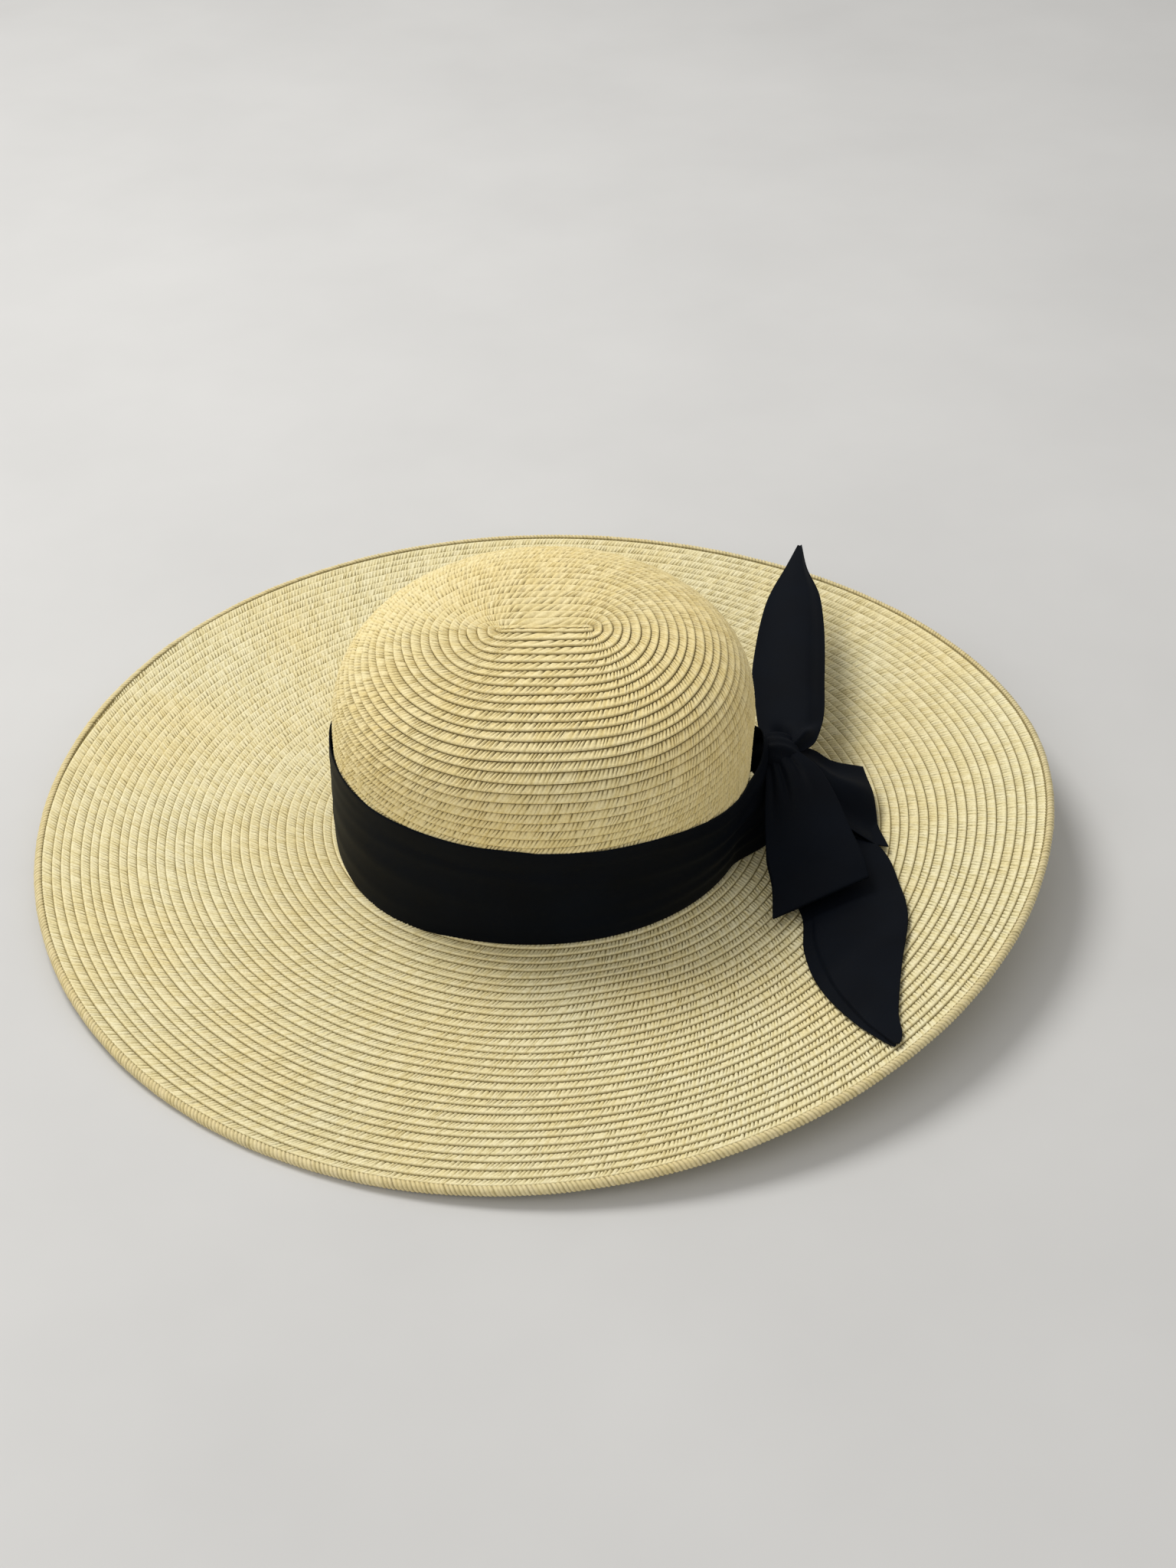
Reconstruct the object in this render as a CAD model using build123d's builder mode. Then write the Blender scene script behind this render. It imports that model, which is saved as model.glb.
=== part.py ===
"""Wide-brimmed sewn-braid straw sun hat with a ribbon band and a side bow.

Millimetres. +Z is up, the hat lies on its brim with the crown standing up.
The origin is under the middle of the head opening, on the surface the hat lies on.
The back of the hat, where the bow is tied, faces +X; the front faces -X.
"""
from build123d import *
from math import atan2, cos, degrees, hypot, radians, sin, sqrt
import os

os.makedirs("parts", exist_ok=True)

# ---- driving dimensions -------------------------------------------------
brim_radius = 235.0        # middle of the head opening to the outside of the rolled edge
head_half_length = 95.5    # outside of the crown where it meets the brim, along X
head_half_width = 91.2     # the same along Y
straw_thickness = 2.4      # two laps of sewn braid
crown_thickness = 1.9
crown_height = 122.0       # above the brim, along the crown's own axis
crown_wall_height = 58.0
crown_side_taper = 1.1     # how far the wall draws in over its height, along X
crown_front_taper = 7.6    # and along Y
crown_roundness = 0.70     # exponents of the dome above the wall
crown_squareness = 0.59
crown_lean_front = 9.5     # degrees that the soft crown leans towards -Y
crown_shift_back = 4.6     # how far its tip stands towards +X
skirt = -18.0              # the crown's form runs on below the brim and is trimmed there
base_height = 6.22         # middle of the straw at the head opening, above the table
edge_radius = 2.3          # rolled braid round the brim's edge
wire_radius = 1.1
wire_sides = 12            # flats rolled on the wire
joiner_radius = 1.35
joiner_half_angle = 2.0
joiner_angle = 204.0
sweatband_thickness = 1.0
sweatband_height = 30.0
ribbon_thickness = 1.3     # folded ribbon, pulled round the crown
ribbon_height = 55.0
ribbon_lift = 1.6          # ribbon's lower edge above the middle of the straw
skin = 0.02                # gap that keeps nested soft layers from sharing a face

rim_radius = brim_radius - edge_radius


def head_radius(angle):
    """Radius of the head oval at an angle round +Z."""
    a, b, t = head_half_length, head_half_width, radians(angle)
    return a * b / sqrt((b * cos(t)) ** 2 + (a * sin(t)) ** 2)


def rim_rise(angle):
    """Height of the brim's edge over the head opening: tilt, twist, ripple and a swell behind the bow."""
    tilt = 10.5 * cos(radians(angle - 19))
    twist = 6.6 * cos(radians(2 * (angle + 20.5)))
    ripple = 1.0 * cos(radians(3 * angle + 57))
    swell = 5.2 * max(0.0, cos(radians(angle + 5))) ** 16
    return 9.7 + tilt + twist + ripple + swell


def brim_height(angle, radius):
    """Middle of the straw: a shallow dish whose edge turns up."""
    start = head_radius(angle)
    s = max(0.0, (radius - start) / (rim_radius - start))
    dish = 4.0 + 1.5 * cos(radians(angle - 60))
    return base_height - dish * 4 * s * (1 - s) + rim_rise(angle) * s ** 1.6


def section_plane(angle, radius, height):
    """Upright plane through the Z axis: its x points outwards, its y points up."""
    t = radians(angle)
    return Plane(
        origin=(radius * cos(t), radius * sin(t), height),
        x_dir=(cos(t), sin(t), 0),
        z_dir=(sin(t), -cos(t), 0),
    )


def ring(radius, first=0.0, last=360.0, step=10.0, sides=0):
    """A cord of this radius that follows the brim's edge between two angles, round or many-sided."""
    spans = 2 if last - first > 180 else 1
    span = (last - first) / spans
    count = max(2, round(span / step))
    with BuildPart() as cord:
        for part_number in range(spans):
            for i in range(count + 1):
                angle = first + part_number * span + span * i / count
                height = brim_height(angle, rim_radius)
                with BuildSketch(section_plane(angle, rim_radius, height)):
                    if sides:
                        RegularPolygon(radius, sides)
                    else:
                        Circle(radius)
            loft()
    return cord.part


def crown_sections(offset):
    """Ovals that the crown passes through, foot to tip: (half length, half width, height)."""
    shoulder_length = head_half_length - crown_side_taper
    shoulder_width = head_half_width - crown_front_taper
    ovals = [
        (head_half_length + crown_side_taper * 0.3, head_half_width + crown_front_taper * 0.3, skirt),
        (head_half_length, head_half_width, 0.0),
        (
            (head_half_length + shoulder_length) / 2,
            (head_half_width + shoulder_width) / 2,
            crown_wall_height / 2,
        ),
        (shoulder_length, shoulder_width, crown_wall_height),
    ]
    for turn in (5, 10, 20, 32, 45, 58, 70, 79, 85, 88.5, 89.7):
        reach = cos(radians(turn)) ** crown_roundness
        rise = sin(radians(turn)) ** crown_squareness
        height = crown_wall_height + (crown_height - crown_wall_height) * rise
        ovals.append((shoulder_length * reach, shoulder_width * reach, height))
    wider = 1 + offset / head_half_length
    deeper = 1 + offset / head_half_width
    taller = 1 + offset / crown_height
    return [(a * wider, b * deeper, h * taller) for a, b, h in ovals]


def dome(offset):
    """Solid filled to the crown's outside plus offset, standing on a skirt that is cut off later."""
    with BuildPart() as solid:
        for half_length, half_width, height in crown_sections(offset):
            with BuildSketch(Plane.XY.offset(height)):
                with Locations((crown_shift_back * height / crown_height, 0)):
                    Ellipse(half_length, half_width)
        loft()
    return Pos(0, 0, base_height) * (Rotation(crown_lean_front, 0, 0) * solid.part)


# ---- straw --------------------------------------------------------------
bottom = base_height - straw_thickness / 2

with BuildPart() as crown:
    add(dome(0))
    add(dome(-crown_thickness), mode=Mode.SUBTRACT)
    split(bisect_by=Plane.XY.offset(bottom), keep=Keep.TOP)
crown.part.label = "crown"
export_step(crown.part, "parts/crown.step")

with BuildPart() as brim:
    for first in (0, 180):
        for angle in range(first, first + 181, 10):
            inner = head_radius(angle) - 6
            radii = [inner + (rim_radius - inner) * i / 6 for i in range(7)]
            heights = [brim_height(angle, r) for r in radii]
            half = straw_thickness / 2
            with BuildSketch(section_plane(angle, 0, 0)):
                with BuildLine():
                    upper = Spline(*[(r, z + half) for r, z in zip(radii, heights)])
                    lower = Spline(*[(r, z - half) for r, z in zip(radii, heights)])
                    Line(upper @ 0, lower @ 0)
                    Line(upper @ 1, lower @ 1)
                make_face()
        loft()
    add(dome(0), mode=Mode.SUBTRACT)
    add(ring(edge_radius), mode=Mode.SUBTRACT)
brim.part.label = "brim"
export_step(brim.part, "parts/brim.step")

with BuildPart() as brim_wire:
    add(ring(wire_radius, sides=wire_sides))
brim_wire.part.label = "brim_wire"
export_step(brim_wire.part, "parts/brim_wire.step")

with BuildPart() as wire_joiner:
    add(ring(joiner_radius, joiner_angle - joiner_half_angle, joiner_angle + joiner_half_angle, 1))
    add(ring(wire_radius + skin, joiner_angle - 4, joiner_angle + 4, 1), mode=Mode.SUBTRACT)
wire_joiner.part.label = "wire_joiner"
export_step(wire_joiner.part, "parts/wire_joiner.step")

# the rolled braid leaves a tunnel wide enough for the wire and its sleeve
with BuildPart() as edge_binding:
    add(ring(edge_radius))
    add(ring(joiner_radius + skin, 90, 450), mode=Mode.SUBTRACT)
edge_binding.part.label = "edge_binding"
export_step(edge_binding.part, "parts/edge_binding.step")

# ---- inside the crown ---------------------------------------------------
with BuildPart() as sweatband:
    add(dome(-crown_thickness - skin))
    add(dome(-crown_thickness - sweatband_thickness), mode=Mode.SUBTRACT)
    split(bisect_by=Plane.XY.offset(bottom), keep=Keep.TOP)
    split(bisect_by=Plane.XY.offset(bottom + sweatband_height), keep=Keep.BOTTOM)
sweatband.part.label = "sweatband"
export_step(sweatband.part, "parts/sweatband.step")

label_thickness = 0.5
label_width = 24.0
label_height = 14.0
label_drop = 6.0
label_outside = -crown_thickness - sweatband_thickness - skin
with BuildPart() as size_label:
    add(dome(label_outside))
    add(dome(label_outside - label_thickness), mode=Mode.SUBTRACT)
    with BuildSketch(Plane.YZ.offset(head_half_length / 2)):
        with Locations((0, bottom + label_drop + label_height / 2)):
            Rectangle(label_width, label_height)
    extrude(amount=head_half_length, mode=Mode.INTERSECT)
size_label.part.label = "size_label"
export_step(size_label.part, "parts/size_label.step")

# ---- ribbon band --------------------------------------------------------
band_low = base_height + ribbon_lift
band_high = band_low + ribbon_height
knot_centre = Vector(109.5, 6.0, base_height + 30.0)
knot_half = Vector(11.0, 12.5, 13.5)
gather_reach_high = 50.0   # the ribbon's upper edge comes down over this length before the knot
gather_reach_low = 28.0    # and its lower edge rises over this length
gather_height = 22.0       # so that it enters the knot this tall

with BuildPart() as hat_band:
    add(dome(ribbon_thickness))
    add(dome(skin), mode=Mode.SUBTRACT)
    split(bisect_by=Plane.XY.offset(band_low), keep=Keep.TOP)
    split(bisect_by=Plane.XY.offset(band_high), keep=Keep.BOTTOM)
    # above and below the knot the gathered ribbon is narrower
    with BuildSketch(Plane.YZ.offset(head_half_length / 2)):
        for side in (-1, 1):
            near = knot_centre.Y
            with BuildLine():
                Polyline(
                    (near + side * gather_reach_high, band_high + 1),
                    (near, band_high + 1),
                    (near, knot_centre.Z + gather_height / 2),
                    close=True,
                )
            make_face()
            with BuildLine():
                Polyline(
                    (near + side * gather_reach_low, band_low - 1),
                    (near, band_low - 1),
                    (near, knot_centre.Z - gather_height / 2),
                    close=True,
                )
            make_face()
    extrude(amount=head_half_length, mode=Mode.SUBTRACT)
hat_band.part.label = "hat_band"
export_step(hat_band.part, "parts/hat_band.step")

# small bar tacks that hold the ribbon to the straw, the first one beside the knot
tack_length = 3.2
tack_height = 0.9
tack_thickness = 0.8
tacks = ((11.5, band_high - 15), (75, band_high - 4), (135, band_high - 4))
with BuildPart() as band_tacks:
    for angle, height in tacks:
        t = radians(angle)
        out = head_radius(angle)
        with Locations(Location((out * cos(t), out * sin(t), height), (0, 0, angle))):
            Box(60, tack_length, tack_height)
    add(dome(ribbon_thickness + skin + tack_thickness), mode=Mode.INTERSECT)
    add(dome(ribbon_thickness + skin), mode=Mode.SUBTRACT)
band_tacks.part.label = "band_tacks"
export_step(band_tacks.part, "parts/band_tacks.step")

# ---- bow ----------------------------------------------------------------
with BuildPart() as bow_knot:
    with BuildSketch(Plane.XZ):
        with BuildLine():
            CenterArc((0, 0), 1, -90, 180)
            Line((0, 1), (0, -1))
        make_face()
    revolve(axis=Axis.Z)
    scale(by=(knot_half.X, knot_half.Y, knot_half.Z))
bow_knot_placed = Pos(*knot_centre) * bow_knot.part
with BuildPart() as bow_knot:
    add(bow_knot_placed)
    add(dome(ribbon_thickness + skin), mode=Mode.SUBTRACT)
bow_knot.part.label = "bow_knot"
export_step(bow_knot.part, "parts/bow_knot.step")


def brim_top(x, y):
    """Height of the brim's upper side."""
    return brim_height(degrees(atan2(y, x)), hypot(x, y)) + straw_thickness / 2


def brim_normal(x, y):
    """Direction straight out of the brim's upper side."""
    slope_x = (brim_top(x + 1, y) - brim_top(x - 1, y)) / 2
    slope_y = (brim_top(x, y + 1) - brim_top(x, y - 1)) / 2
    return Vector(-slope_x, -slope_y, 1).normalized()


def ribbon_piece(stations, flat_on_brim=False):
    """Loft through flat oval sections: each station is (centre, width, thickness).

    The third coordinate of a centre is its height over the straw at the head opening; on a piece
    that lies on the brim it is the gap left under it.
    """
    centres = []
    for centre, _, thickness in stations:
        x, y, z = centre
        z += brim_top(x, y) + thickness / 2 if flat_on_brim else base_height
        centres.append(Vector(x, y, z))
    with BuildPart() as piece:
        for i, (_, width, thickness) in enumerate(stations):
            before = centres[max(i - 1, 0)]
            after = centres[min(i + 1, len(centres) - 1)]
            along = (after - before).normalized()
            up = brim_normal(centres[i].X, centres[i].Y) if flat_on_brim else Vector(0, 0, 1)
            across = up.cross(along).normalized()
            with BuildSketch(Plane(origin=centres[i], x_dir=across, z_dir=along)):
                SlotOverall(width, thickness)
        loft()
    return piece.part


pieces = {
    "upper_tail": [
        ((113.0, 18.8, 36.1), 18, 8),
        ((116.5, 38.0, 33.6), 27, 7),
        ((120.5, 62.0, 32.1), 34, 6),
        ((126.0, 110.0, 33.6), 32, 5),
        ((131.0, 142.0, 38.1), 21, 4),
        ((134.5, 168.0, 42.6), 5, 2.5),
    ],
    "lower_tail": [
        ((110.5, -5.5, 8.0), 16, 5),
        ((116.5, -28.0, 2.5), 29, 4),
        ((127.0, -58.0, 1.2), 41, 3),
        ((138.0, -88.0, 1.0), 45, 3),
        ((137.0, -121.0, 1.0), 37, 3),
        ((136.5, -143.0, 1.0), 28, 3),
        ((140.5, -160.0, 1.0), 18, 2.6),
        ((146.5, -173.0, 1.0), 5, 2.2),
    ],
    "back_loop": [
        ((119.3, 3.5, 17.9), 14, 5),
        ((130.0, -5.0, 13.3), 30, 4),
        ((144.0, -15.5, 8.8), 47, 4),
        ((154.0, -15.5, 7.4), 50, 4),
    ],
    "front_loop": [
        ((110.0, -8.4, 27.1), 20, 9),
        ((117.0, -22.0, 24.1), 34, 11),
        ((121.0, -42.0, 20.1), 43, 11),
        ((120.5, -62.0, 16.6), 47, 9),
        ((125.0, -75.0, 14.6), 48, 6),
    ],
}
for name, stations in pieces.items():
    with BuildPart() as soft_piece:
        add(ribbon_piece(stations, name in ("lower_tail", "back_loop")))
    soft_piece.part.label = name
    export_step(soft_piece.part, f"parts/{name}.step")
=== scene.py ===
"""Looks of the straw sun hat: rows of sewn braid, a rolled edge and a tied ribbon, built round the CAD frame.

Shapes are worked out in millimetres, in the CAD's own axes, and become metres when a mesh is made.
"""

import math

import bpy
import numpy as np
from mathutils import Matrix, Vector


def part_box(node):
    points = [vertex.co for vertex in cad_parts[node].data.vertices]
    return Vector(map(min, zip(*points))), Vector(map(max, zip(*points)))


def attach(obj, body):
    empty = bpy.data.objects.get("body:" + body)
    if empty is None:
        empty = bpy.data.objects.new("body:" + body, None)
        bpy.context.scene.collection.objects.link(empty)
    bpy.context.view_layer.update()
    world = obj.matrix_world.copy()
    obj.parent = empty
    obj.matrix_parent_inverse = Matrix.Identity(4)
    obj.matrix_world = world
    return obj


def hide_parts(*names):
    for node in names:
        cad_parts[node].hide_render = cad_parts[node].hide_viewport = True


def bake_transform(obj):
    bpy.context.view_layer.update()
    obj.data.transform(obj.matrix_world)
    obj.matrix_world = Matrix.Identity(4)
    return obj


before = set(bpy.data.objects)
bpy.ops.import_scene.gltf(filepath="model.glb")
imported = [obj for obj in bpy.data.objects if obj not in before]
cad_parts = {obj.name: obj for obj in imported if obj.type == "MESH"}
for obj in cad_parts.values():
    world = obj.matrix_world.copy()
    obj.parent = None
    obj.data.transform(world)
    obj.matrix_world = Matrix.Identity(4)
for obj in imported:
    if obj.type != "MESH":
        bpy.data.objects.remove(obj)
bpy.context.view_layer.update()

MM = 0.001

# ---- driving dimensions, the same as the CAD's ---------------------------
edge_radius = 2.3
rim_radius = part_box("edge_binding")[1].x / MM - edge_radius
head_half_length = 95.5
head_half_width = 91.2
straw_thickness = 2.4
crown_thickness = 1.9
crown_height = 122.0
crown_wall_height = 58.0
crown_side_taper = 1.1
crown_front_taper = 7.6
crown_roundness = 0.70
crown_squareness = 0.59
crown_lean = math.radians(9.5)
crown_shift_back = 4.6
skirt = -18.0
base_height = 6.22
foot_height = base_height - straw_thickness / 2
band_low = base_height + 1.6
band_high = band_low + 55.0
over_straw = (0, 0, base_height)    # the bow's heights are given over the straw at the head opening
sweatband_height = 30.0

# ---- braid ---------------------------------------------------------------
row_pitch = 4.3            # from one sewn lap of braid to the next
strand_pitch = 1.8         # along a row
under_strand_pitch = 2.2   # the same, on the sides that are seldom seen
fewest_strands = 16        # in one lap
brim_rows = 32
seed_half_length = 19.0    # the spiral starts round a straight length of braid
ramp_start = 0.86          # a row steps out to the next one over the last part of its turn
columns_per_strand = 4
largest_piece = 190_000    # triangles
rng = np.random.default_rng(7)

# Across one row, from the side tucked under the row before it to its own rounded outer edge. The last column
# is painted shade, darkest in the sewn lines at the row's two edges.
ROW = {
    "f": np.array([0.0, 0.05, 0.17, 0.32, 0.47, 0.60, 0.70, 0.83, 0.95, 1.0]),
    "height": np.array([-0.66, -0.58, -0.36, -0.14, 0.04, 0.18, 0.34, 0.48, 0.30, -0.70]),
    "strand": np.array([0.04, 0.40, 0.52, 0.47, 0.32, 0.20, 0.15, 0.12, 0.08, 0.0]),
    "groove_shade": np.array([1.0, 0.50, 0.08, 0.0, 0.0, 0.0, 0.0, 0.0, 0.06, 1.0]),
}
# The same for a row on the unseen sides; its last column is painted shade in the sewn lines too.
UNDER_ROW = {
    "f": np.array([0.0, 0.12, 0.5, 0.88, 1.0]),
    "height": np.array([-0.35, 0.1, 0.25, 0.1, -0.35]),
    "strand": np.array([0.05, 0.14, 0.16, 0.14, 0.05]),
    "groove_shade": np.array([0.9, 0.25, 0.0, 0.25, 0.9]),
}
deepest_strand = 0.52
RIDGE = {4: np.array([1.0, 0.45, -1.0, 0.45]), 2: np.array([1.0, -1.0])}    # height over one strand
row_slant = 1.35           # strands that a slanted strand crosses on its way over the row


# ---- mesh helpers --------------------------------------------------------
def mesh_object(name, points, quads, material, values=None):
    """A smooth-shaded mesh from points in millimetres; values are floats per point for the material."""
    mesh = bpy.data.meshes.new(name)
    mesh.vertices.add(len(points))
    mesh.vertices.foreach_set("co", (points * MM).astype(np.float32).ravel())
    mesh.loops.add(quads.size)
    mesh.loops.foreach_set("vertex_index", quads.astype(np.int32).ravel())
    mesh.polygons.add(len(quads))
    mesh.polygons.foreach_set("loop_start", np.arange(0, quads.size, 4, dtype=np.int32))
    mesh.update(calc_edges=True)
    mesh.polygons.foreach_set("use_smooth", np.ones(len(quads), bool))
    for key, numbers in (values or {}).items():
        attribute = mesh.attributes.new(key, "FLOAT", "POINT")
        attribute.data.foreach_set("value", numbers.astype(np.float32).ravel())
    mesh.materials.append(material)
    piece = bpy.data.objects.new(name, mesh)
    bpy.context.collection.objects.link(piece)
    return piece


def grid_quads(rows, columns, wrap=False):
    """Quads of a grid of points numbered row by row; wrap closes it along its columns."""
    i = np.arange(rows - 1)[:, None]
    j = np.arange(columns if wrap else columns - 1)[None, :]
    after = (j + 1) % columns
    corners = (i * columns + j, i * columns + after, (i + 1) * columns + after, (i + 1) * columns + j)
    return np.stack(np.broadcast_arrays(*corners), -1).reshape(-1, 4)


def unit(vectors):
    return vectors / np.maximum(np.linalg.norm(vectors, axis=-1, keepdims=True), 1e-9)


def by_station(points, count):
    """Points along a smooth curve through these ones, with the same share of the count between each pair."""
    points = np.asarray(points, float)
    slopes = np.gradient(points, axis=0)
    t = np.linspace(0, len(points) - 1, count)
    k = np.clip(t.astype(int), 0, len(points) - 2)
    s = (t - k)[:, None]
    a, b, ta, tb = points[k], points[k + 1], slopes[k], slopes[k + 1]
    from_a = (2 * s**3 - 3 * s**2 + 1) * a + (s**3 - 2 * s**2 + s) * ta
    return from_a + (3 * s**2 - 2 * s**3) * b + (s**3 - s**2) * tb


def bump(x, centre, width):
    return np.exp(-(((x - centre) / width) ** 2))


def ease(x):
    x = np.clip(x, 0, 1)
    return x * x * (3 - 2 * x)


# ---- the hat's own surfaces ----------------------------------------------
def head_radius(angle):
    a, b = head_half_length, head_half_width
    return a * b / np.sqrt((b * np.cos(angle)) ** 2 + (a * np.sin(angle)) ** 2)


def rim_rise(angle):
    tilt = 10.5 * np.cos(angle - math.radians(19))
    twist = 6.6 * np.cos(2 * (angle + math.radians(20.5)))
    ripple = 1.0 * np.cos(3 * angle + math.radians(57))
    swell = 5.2 * np.maximum(0, np.cos(angle + math.radians(5))) ** 16
    return 9.7 + tilt + twist + ripple + swell


def brim_height(angle, radius):
    """Middle of the straw, as in the CAD."""
    start = head_radius(angle)
    s = np.maximum(0, (radius - start) / (rim_radius - start))
    dish = 4.0 + 1.5 * np.cos(angle - math.radians(60))
    return base_height - dish * 4 * s * (1 - s) + rim_rise(angle) * s**1.6


def brim_top(x, y):
    return brim_height(np.arctan2(y, x), np.hypot(x, y)) + straw_thickness / 2


class Surface:
    """Points and outward normals by turn, from 0 to 1 round the hat, and by row, counted outwards."""

    def __init__(self, table, step):
        self.table = table
        self.step = step
        along = np.roll(table, -1, 0) - np.roll(table, 1, 0)
        across = np.gradient(table, axis=1)
        self.normals = unit(np.cross(across, along))
        self.rows = (table.shape[1] - 1) * step

    def _look_up(self, grid, turn, row):
        turns, rows = grid.shape[:2]
        u = (turn % 1.0) * turns
        v = np.clip(row / self.step, 0, rows - 1.0001)
        i, j = u.astype(int) % turns, v.astype(int)
        a, b = (u - np.floor(u))[..., None], (v - j)[..., None]
        k = (i + 1) % turns
        near = grid[i, j] * (1 - a) + grid[k, j] * a
        far = grid[i, j + 1] * (1 - a) + grid[k, j + 1] * a
        return near * (1 - b) + far * b

    def point(self, turn, row):
        return self._look_up(self.table, turn, row)

    def normal(self, turn, row):
        return unit(self._look_up(self.normals, turn, row))


turns = 1440
# a turn starts on the -X side, away from the bow
turn_angle = np.pi + np.linspace(0, 2 * np.pi, turns, endpoint=False)


def crown_profile():
    """The crown's outside, from its tip line to its skirt: a grid of points, one column per angle."""
    shoulder_length = head_half_length - crown_side_taper
    shoulder_width = head_half_width - crown_front_taper
    turned = math.radians(30) * np.linspace(1, 0, 90) ** 2.5
    reach = np.concatenate([np.linspace(0, 0.9, 120)[:-1], np.cos(turned) ** crown_roundness])
    reach = np.sort(reach)[:, None]
    angle = turn_angle[None, :]
    seed = seed_half_length * (1 - reach) ** 1.5
    end = seed_half_length + (shoulder_length - seed_half_length) * reach
    along_seed = np.tanh(3.2 * np.cos(angle)) / math.tanh(3.2)
    x = seed * along_seed + (end - seed) * np.cos(angle)
    y = shoulder_width * reach * np.sin(angle)
    out = np.clip(np.hypot(x / shoulder_length, y / shoulder_width), 0, 1)
    rise = np.maximum(0, 1 - out ** (2 / crown_roundness)) ** (crown_squareness / 2)
    height = crown_wall_height + (crown_height - crown_wall_height) * rise
    dome = np.stack([x, y, height], -1)
    down = np.linspace(crown_wall_height, skirt, 80)[1:, None]
    share = down / crown_wall_height
    wall = np.stack(
        [
            (head_half_length - crown_side_taper * share) * np.cos(angle),
            (head_half_width - crown_front_taper * share) * np.sin(angle),
            down + 0 * angle,
        ],
        -1,
    )
    points = np.concatenate([dome, wall])
    x = points[..., 0] + crown_shift_back * points[..., 2] / crown_height
    y = points[..., 1] * math.cos(crown_lean) - points[..., 2] * math.sin(crown_lean)
    z = base_height + points[..., 1] * math.sin(crown_lean) + points[..., 2] * math.cos(crown_lean)
    return np.stack([x, y, z], -1), len(dome) - 1


profile, shoulder = crown_profile()


def crown_surface():
    """Rows keep their pitch down to where the ribbon hides them, then share what is left down to the brim."""
    steps = np.linalg.norm(np.diff(profile, axis=0), axis=-1)
    arc = np.concatenate([np.zeros((1, turns)), np.cumsum(steps, 0)])
    to_shoulder = arc[shoulder]
    shoulder_rows = round(to_shoulder.mean() / row_pitch)
    hidden_rows = 10.0
    wall_rows = 3.5
    step = 0.1
    rows = np.arange(0, shoulder_rows + wall_rows + hidden_rows + step / 2, step)
    table = np.empty((turns, len(rows), 3))
    for i in range(turns):
        foot = np.interp(-foot_height, -profile[shoulder:, i, 2], arc[shoulder:, i])
        stations = [0, shoulder_rows, shoulder_rows + wall_rows, rows[-1]]
        arcs = [0, to_shoulder[i], to_shoulder[i] + wall_rows * row_pitch, foot]
        wanted = np.interp(rows, stations, arcs)
        for axis in range(3):
            table[i, :, axis] = np.interp(wanted, arc[:, i], profile[:, i, axis])
    surface = Surface(table, step)
    flat = int(1.5 / step)
    surface.normals[:, :flat] = surface.normals[:, flat:flat + 1]
    return surface


crown = crown_surface()


def wall_radius_table():
    """The crown's radius by angle and height, for what is wrapped round it or lies inside it."""
    heights = np.arange(5.0, 80.0, 1.0)
    angles = np.radians(np.arange(0, 361, 1.0))
    radii = np.empty((len(heights), len(angles)))
    for k, z in enumerate(heights):
        ring = np.empty((turns, 2))
        for i in range(turns):
            column = profile[shoulder // 2:, i]
            for axis in range(2):
                ring[i, axis] = np.interp(-z, -column[:, 2], column[:, axis])
        angle = np.arctan2(ring[:, 1], ring[:, 0]) % (2 * np.pi)
        order = np.argsort(angle)
        radii[k] = np.interp(angles, angle[order], np.hypot(*ring.T)[order], period=2 * np.pi)
    return heights, angles, radii


wall_heights, wall_angles, wall_radii = wall_radius_table()


def wall_radius(angle, z):
    """Outside of the crown at an angle and a height."""
    a = (angle % (2 * np.pi)) / (2 * np.pi) * (len(wall_angles) - 1)
    h = np.clip(z - wall_heights[0], 0, len(wall_heights) - 1.0001)
    i, k = a.astype(int), h.astype(int)
    i = np.minimum(i, len(wall_angles) - 2)
    s, t = a - i, h - k
    low = wall_radii[k, i] * (1 - s) + wall_radii[k, i + 1] * s
    high = wall_radii[k + 1, i] * (1 - s) + wall_radii[k + 1, i + 1] * s
    return low * (1 - t) + high * t


def brim_surface(side):
    """The brim's top (side 1) or underside (side -1), with the small waves that the soft straw has."""
    step = 0.25
    rows = np.arange(0, brim_rows + step / 2, step)
    angle = turn_angle[:, None]
    inner = wall_radius(angle[:, 0], np.full(turns, base_height))[:, None] - 1.0
    outer = rim_radius - 1.2
    radius = inner + (outer - inner) * rows[None, :] / brim_rows
    z = brim_height(angle, radius) + side * (straw_thickness / 2 - 0.1)
    degrees = np.degrees(angle) % 360
    share = rows[None, :] / brim_rows
    z = z + 1.6 * bump(degrees, 284, 13) * bump(share, 0.23, 0.13)
    z = z + 2.0 * bump(degrees, 256, 10) * bump(share, 0.56, 0.12)
    z = z + 0.35 * np.sin(np.radians(degrees * 9) + 4 * share) * np.sin(np.pi * share)
    return Surface(np.stack([radius * np.cos(angle) + 0 * z, radius * np.sin(angle) + 0 * z, z], -1), step)


# ---- materials -----------------------------------------------------------
def new_material(name):
    material = bpy.data.materials.new(name)
    material.use_nodes = True
    nodes = material.node_tree.nodes
    return material, nodes, material.node_tree.links, nodes["Principled BSDF"]


def noise(nodes, links, coordinates, scale, detail=3.0, roughness=0.55):
    node = nodes.new("ShaderNodeTexNoise")
    node.inputs["Scale"].default_value = scale
    node.inputs["Detail"].default_value = detail
    node.inputs["Roughness"].default_value = roughness
    links.new(coordinates, node.inputs["Vector"])
    return node.outputs["Fac"]


def ramp(nodes, links, value, stops):
    node = nodes.new("ShaderNodeValToRGB")
    while len(node.color_ramp.elements) < len(stops):
        node.color_ramp.elements.new(0.5)
    for element, (place, colour) in zip(node.color_ramp.elements, stops):
        element.position = place
        element.color = (*colour, 1)
    links.new(value, node.inputs["Fac"])
    return node.outputs["Color"]


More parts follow.
